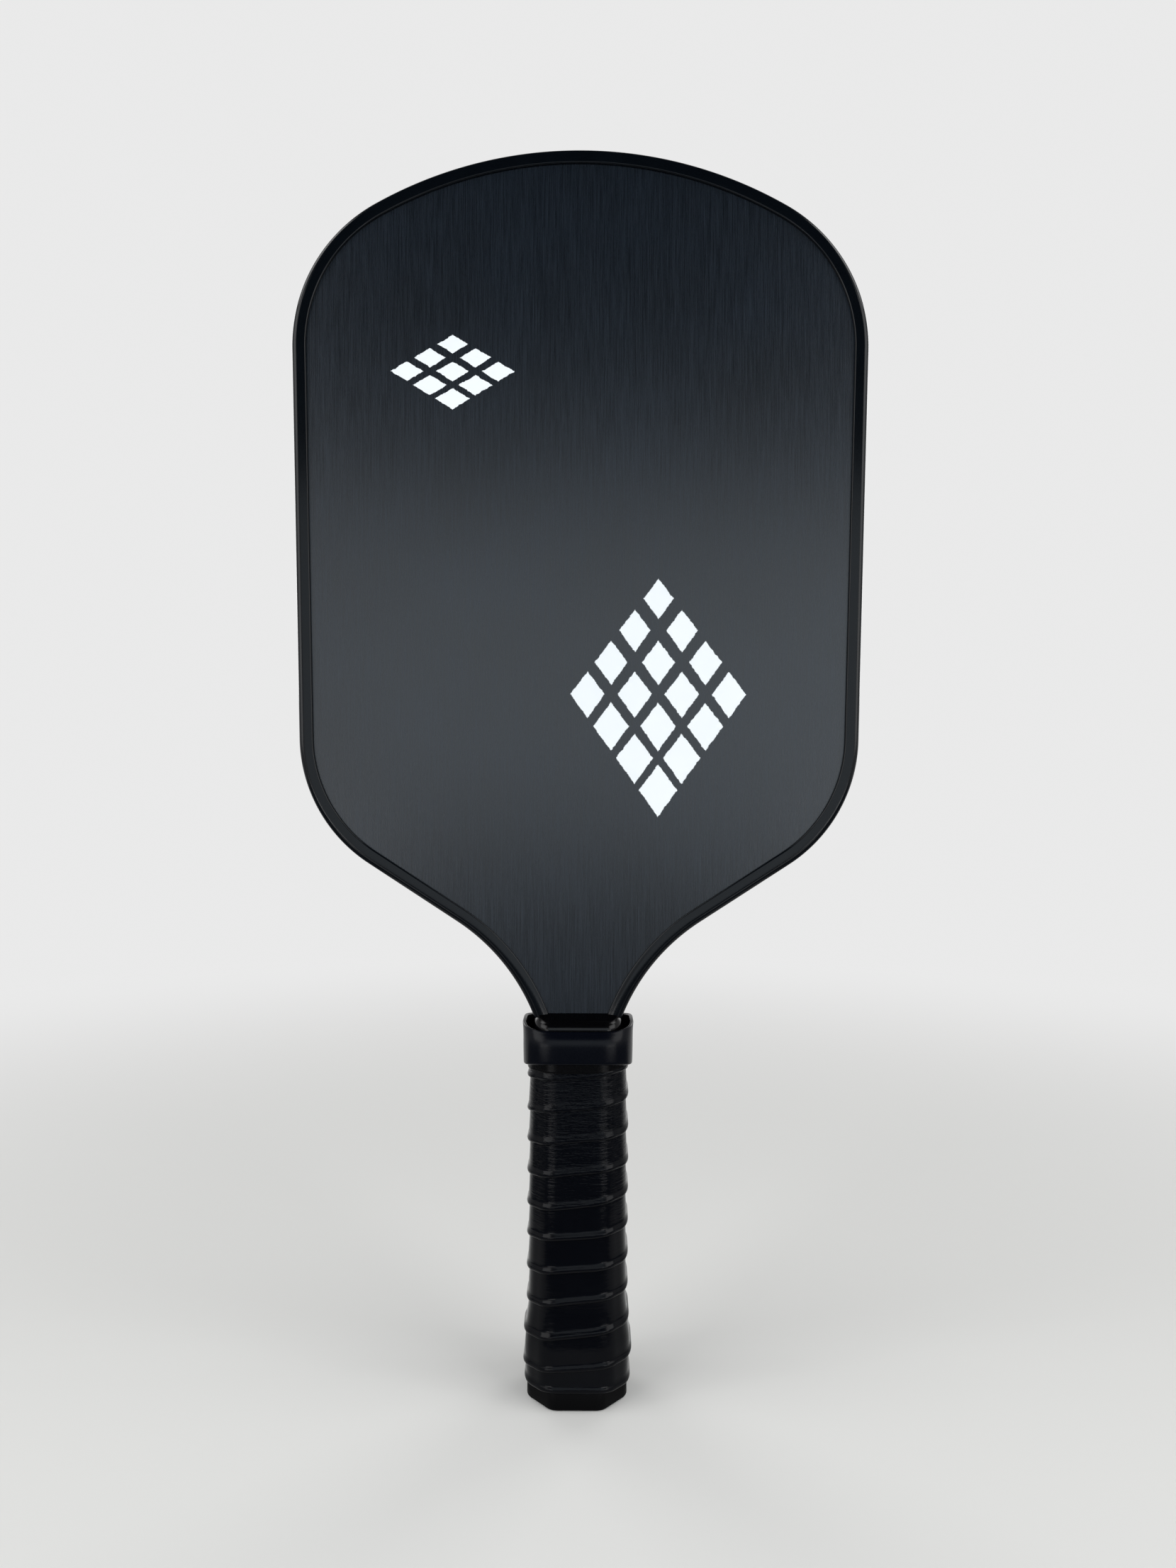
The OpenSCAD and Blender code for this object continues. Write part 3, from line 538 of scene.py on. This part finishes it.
def face_laminate(name, motifs):
    """Woven laminate pressed against a brushed plate: upright hairlines in tone, roughness and height, with
    the motifs laid over them as a thin film of paint."""
    material, tree, shader = blank(name)
    place = add(tree, "ShaderNodeTexCoord").outputs["Object"]
    fine = add(tree, "ShaderNodeMapping", {"Vector": place, "Scale": HAIRLINE})
    hair = add(tree, "ShaderNodeTexNoise",
               {"Vector": fine.outputs[0], "Scale": 1.0, "Detail": 4.0, "Roughness": 0.7}).outputs["Fac"]
    patch = add(tree, "ShaderNodeTexNoise",
                {"Vector": place, "Scale": FACE_BLOTCH, "Detail": 3.0}).outputs["Fac"]
    cloud = add(tree, "ShaderNodeMath", {0: patch, 1: BLOTCH_SHARE, 2: EVEN_SHARE}, operation="MULTIPLY_ADD")
    both = add(tree, "ShaderNodeMath", {0: hair, 1: cloud.outputs[0]}, operation="MULTIPLY")
    level = add(tree, "ShaderNodeMapRange",
                {0: both.outputs[0], 1: TONE_LOW, 2: TONE_HIGH, 3: 0.0, 4: 1.0}).outputs[0]
    colour = add(tree, "ShaderNodeMix",
                 {0: level, 6: linear("#050a10"), 7: linear("#101821")}, data_type="RGBA").outputs[2]
    gloss = add(tree, "ShaderNodeMapRange",
                {0: hair, 1: NOISE_LOW, 2: NOISE_HIGH, 3: FACE_ROUGH[0], 4: FACE_ROUGH[1]}).outputs[0]
    bump = add(tree, "ShaderNodeBump", {"Height": hair, "Strength": 1.0, "Distance": HAIR_DEPTH * MM})
    if motifs:
        cover = stencil(tree, place, motifs)
        white = add(tree, "ShaderNodeMix",
                    {0: patch, 6: linear("#d4dade"), 7: linear("#e0e4e8")}, data_type="RGBA").outputs[2]
        colour = add(tree, "ShaderNodeMix", {0: cover, 6: colour, 7: white}, data_type="RGBA").outputs[2]
        gloss = add(tree, "ShaderNodeMix", {0: cover, 2: gloss, 3: PAINT_ROUGH}, data_type="FLOAT").outputs[0]
        relief = {"Height": cover, "Strength": PAINT_RELIEF, "Distance": PAINT_T * MM}
        bump = add(tree, "ShaderNodeBump", {**relief, "Normal": bump.outputs[0]})
    coat(tree, shader, colour, gloss, bump, FACE_LEVEL)
    return material


# A carbon laminate from a brushed press plate: dark slate, upright hairlines, a soft low sheen
front_laminate = face_laminate("Carbon laminate, press brushed, stencil sprayed", MOTIFS)
# The same laminate without paint
rear_laminate = face_laminate("Carbon laminate, press brushed", [])
# Thermoplastic from a semi-gloss mould: near black with a cool tint, narrow soft highlights
guard_plastic = moulded("Guard thermoplastic, semi-gloss moulded", "#030508", "#06090d", (0.13, 0.18),
                        0.6, 0.003, level=0.16)
# Polished mould: black with sharp highlights
pallet_plastic = moulded("Pallet plastic, gloss moulded", "#020203", "#040405", (0.14, 0.22),
                         0.8, 0.003, level=0.18)
# Stretched rubber: black with a navy cast, broad dim highlights
collar_rubber = moulded("Collar rubber, matt moulded", "#020308", "#05070d", (0.22, 0.28),
                        0.5, 0.006, level=0.1)
# Polyurethane film drawn tight round the handle: level wrinkles on the upper turns, a tacky sheen
overgrip_film = moulded("Polyurethane overgrip, drawn tight", "#020306", "#05060a", (0.11, 0.19),
                        1.0, 0.3, stretch=(6.0, 6.0, 0.8), level=0.085, fade=(55, 104))
# Vinyl tape: smooth, with soft dim highlights
band_film = moulded("Vinyl finishing tape, calendered", "#020203", "#050506", (0.2, 0.3),
                    0.7, 0.006, level=0.1)
# Sparked mould: black, even and dull
cap_plastic = moulded("Cap plastic, spark-finish moulded", "#020203", "#040405", (0.4, 0.5),
                      0.35, 0.012, level=0.05)
# Galvanised wire: grey with fine grain
staple_steel = moulded("Steel wire, galvanised", "#8b8f92", "#a5a9ab", (0.3, 0.45), 0.2, 0.004)
# Foamed strip: dull charcoal with pores
cushion_foam = moulded("Polyurethane foam, skived", "#1a1b1d", "#26282a", (0.7, 0.9), 0.4, 0.04)
# Acrylic foam tape: dull pale grey
bonding_tape = moulded("Acrylic bonding tape, cast", "#b9b8b2", "#cfcec9", (0.5, 0.65), 0.5, 0.01)
# Extruded polypropylene: milky white, waxy
core_plastic = moulded("Polypropylene, extruded", "#d9dbd9", "#eceeec", (0.45, 0.6), 0.8, 0.01)
# Bonded fibres: white and dull
fleece_film = moulded("Polyester fleece, heat bonded", "#dededb", "#efefec", (0.8, 0.95), 0.15, 0.03)

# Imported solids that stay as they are, with their finishes
KEPT = {"honeycomb_core": core_plastic, "front_fleece_film": fleece_film, "rear_fleece_film": fleece_film,
        "front_face_sheet": front_laminate, "rear_face_sheet": rear_laminate,
        "guard_bonding_tape": bonding_tape, "front_cap_staple": staple_steel,
        "rear_cap_staple": staple_steel, "cushion_grip": cushion_foam}
for node, material in KEPT.items():
    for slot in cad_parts[node].material_slots:
        slot.material = material

# Pieces drawn again
shell("edge_guard_moulding", guard_grid(), guard_plastic, "edge_guard",
      closed=False, ends=True, sharp=40)
shell("overgrip_strip", overgrip_grid(), overgrip_film, "overgrip",
      closed=False, ends=True, sharp=60)
shell("collar_moulding", collar_grid(), collar_rubber, "collar")
for side, place in ((-1, "front"), (1, "rear")):
    shell(place + "_pallet_moulding", pallet_grid(side), pallet_plastic, place + "_pallet",
          closed=False, ends=True, sharp=40)
shell("butt_cap_moulding", cap_grid(), cap_plastic, "butt_cap", closed=False, ends=True)
shell("finishing_band_tape", band_grid(), band_film, "finishing_band")


# Stage, light and camera, in metres

# Lit level of the room and the far floor as they are seen, and of the room as it lights the paddle
SEEN_PALE, ROOM_LIGHT = 0.82, 0.3
# The floor's half width, where it starts to turn into that even tone, and where it has
FLOOR_HALF, FADE_FROM, FADE_TO = 4.0, 0.2, 0.9


def stage_piece(name, points, faces, material):
    """A piece of the set, which is no part of the paddle."""
    piece = set_down(name, points, faces, material)
    return piece


def seen(tree):
    """1 for rays that show the set in the picture, straight or mirrored; 0 for rays that only light."""
    rays = add(tree, "ShaderNodeLightPath").outputs
    mirrored = add(tree, "ShaderNodeMath",
                   {0: rays["Is Glossy Ray"], 1: rays["Is Transmission Ray"]}, operation="MAXIMUM").outputs[0]
    return add(tree, "ShaderNodeMath",
               {0: rays["Is Camera Ray"], 1: mirrored}, operation="MAXIMUM").outputs[0]


def floor_paint():
    """A painted board: pale and dull, and evenly pale far off, by the distance from the paddle."""
    material, tree, shader = blank("Floor board, matt painted")
    shader.inputs["Base Color"].default_value = linear("#dcdcda")
    shader.inputs["Roughness"].default_value = 1.0
    shader.inputs["Specular IOR Level"].default_value = 0.0
    place = add(tree, "ShaderNodeTexCoord").outputs["Object"]
    reach = add(tree, "ShaderNodeVectorMath", {0: place}, operation="LENGTH").outputs["Value"]
    far = add(tree, "ShaderNodeMapRange",
              {0: reach, 1: FADE_FROM, 2: FADE_TO}, interpolation_type="SMOOTHSTEP").outputs[0]
    shown = add(tree, "ShaderNodeMath", {0: far, 1: seen(tree)}, operation="MULTIPLY").outputs[0]
    haze = add(tree, "ShaderNodeEmission", {"Color": (SEEN_PALE,) * 3 + (1.0,)})
    mixed = add(tree, "ShaderNodeMixShader", {0: shown, 1: shader.outputs[0], 2: haze.outputs[0]})
    tree.links.new(mixed.outputs[0], tree.nodes["Material Output"].inputs["Surface"])
    return material


floor_corners = [(-FLOOR_HALF, -FLOOR_HALF, 0), (FLOOR_HALF, -FLOOR_HALF, 0),
                 (FLOOR_HALF, FLOOR_HALF, 0), (-FLOOR_HALF, FLOOR_HALF, 0)]
stage_piece("floor", floor_corners, [(0, 1, 2, 3)], floor_paint())

# Sheets seen only in reflections, whose tones paint dark reflections onto the paddle: half width, the
# overhead one's radius, middle height and span in degrees, tones
FLAG_HALF, FLAG_R, FLAG_Z, FLAG_SPAN = 0.9, 1.36, 0.2, (19.5, 105)
FLAG_BLACK, FLAG_GREY = "#101114", "#66686c"
# Those on the floor: height over it, the front one's near edge and turned-up far edge
FLAG_LIE, FRONT_Y, FRONT_UP = 0.002, -0.09, 0.07
# Near and far edges of those at the sides, and how far from the paddle they start
SIDE_FRONT, SIDE_BACK, SIDE_FROM = -0.088, 0.15, 0.2


def flag(name, tone, line, across=(-FLAG_HALF, FLAG_HALF)):
    """A dull sheet hung along a line of (y, z) points, from one x to another, whose tone is a painted dark
    reflection: only reflections show it, and it casts no shadow and lends no light.
    """
    cloth, _, shader = blank(name.capitalize() + " cloth, painted dark")
    shader.inputs["Base Color"].default_value = linear(tone)
    shader.inputs["Specular IOR Level"].default_value = 0.0
    points = [(x, y, z) for x in across for y, z in line]
    faces = [(i, i + len(line), i + len(line) + 1, i + 1) for i in range(len(line) - 1)]
    piece = stage_piece(name, points, faces, cloth)
    # Hidden from the camera, from bounced light and from shadows, so that the sheet only paints dark
    # reflections
    piece.visible_camera = piece.visible_diffuse = piece.visible_shadow = piece.visible_transmission = False


# Painted dark reflection overhead: a black sheet from above the front lamps to behind the paddle
arc = np.radians(np.linspace(*FLAG_SPAN, 16))
flag("overhead", FLAG_BLACK, [(-FLAG_R * math.cos(a), FLAG_Z + FLAG_R * math.sin(a)) for a in arc])
# Painted darker reflection of the floor: grey sheets lying on it in front and at the sides
flag("front", FLAG_GREY, [(FRONT_Y, FLAG_LIE), (-FLAG_R, FLAG_LIE), (-FLAG_R, FRONT_UP)])
for side, place in ((-1, "left"), (1, "right")):
    flag(place + "_floor", FLAG_GREY, [(SIDE_FRONT, FLAG_LIE), (SIDE_BACK, FLAG_LIE)],
         (side * SIDE_FROM, side * FLAG_HALF))

# Surroundings: an even pale room
world = bpy.data.worlds.new("Room")
bpy.context.scene.world = world
world.use_nodes = True
tree = world.node_tree
shade = add(tree, "ShaderNodeMix", {0: seen(tree), 2: ROOM_LIGHT, 3: SEEN_PALE}, data_type="FLOAT")
tree.links.new(shade.outputs[0], tree.nodes["Background"].inputs["Strength"])
tree.nodes["Background"].inputs["Color"].default_value = (1.0, 1.0, 1.0, 1.0)


def lamp(name, at, aim, size, watts, tint="#ffffff"):
    """A soft rectangular lamp turned towards a point; it isn't seen itself."""
    data = bpy.data.lights.new(name, "AREA")
    data.shape = "RECTANGLE"
    data.size, data.size_y = size
    data.energy = watts
    data.color = linear(tint)[:3]
    piece = bpy.data.objects.new(name, data)
    piece.location = at
    forward = np.array(aim, dtype=float) - np.array(at, dtype=float)
    flat = math.hypot(forward[0], forward[1])
    piece.rotation_euler = (math.atan2(flat, -forward[2]), 0.0, math.atan2(-forward[0], forward[1]))
    piece.visible_camera = False
    bpy.context.scene.collection.objects.link(piece)


# A pair of each lamp: the main light, two low ones for the grip, one from above, one for the rear, and a
# dim wide one that the face mirrors, a little stronger on the right
for side, place in ((-1, "left"), (1, "right")):
    foot_x, veil_x = side * 0.26, 0.1 + side * 0.3
    lamp(place + "_strip", at=(side * 0.78, -0.6, 0.53), aim=(0, 0, 0.25), size=(0.7, 0.68), watts=5.0)
    lamp(place + "_low", at=(side * 0.5, -0.84, 0.05), aim=(0, 0, 0.1), size=(0.4, 0.08), watts=0.72)
    lamp(place + "_foot", at=(foot_x, -0.42, 0.004), aim=(foot_x, -0.42, 1), size=(0.22, 0.2), watts=0.34)
    lamp(place + "_top", at=(side * 0.5, -0.1, 0.8), aim=(0, -0.03, 0), size=(0.3, 0.3), watts=1.2)
    lamp(place + "_rear", at=(side * 0.7, 0.9, 0.6), aim=(0, 0, 0.21), size=(0.6, 0.6), watts=3.0)
    lamp(place + "_veil", at=(veil_x, -1.3, 0.365), aim=(veil_x, 0, 0.365), size=(0.6, 0.57),
         watts=1.1 + side * 0.09, tint="#dff2ff")

# The photograph's camera: level, a fifth of a degree out of upright
CAMERA_AT, CAMERA_ROLL = (0.0030, -0.367, 0.2024), -0.2
lens = bpy.data.cameras.new("camera")
lens.sensor_width = 36.0
lens.lens = 25.06
lens.clip_start = 0.01
camera = bpy.data.objects.new("camera", lens)
camera.location = CAMERA_AT
camera.rotation_euler = (math.pi / 2, math.radians(CAMERA_ROLL), 0.0)
bpy.context.scene.collection.objects.link(camera)
bpy.context.scene.camera = camera
bpy.context.scene.view_settings.view_transform = "Standard"
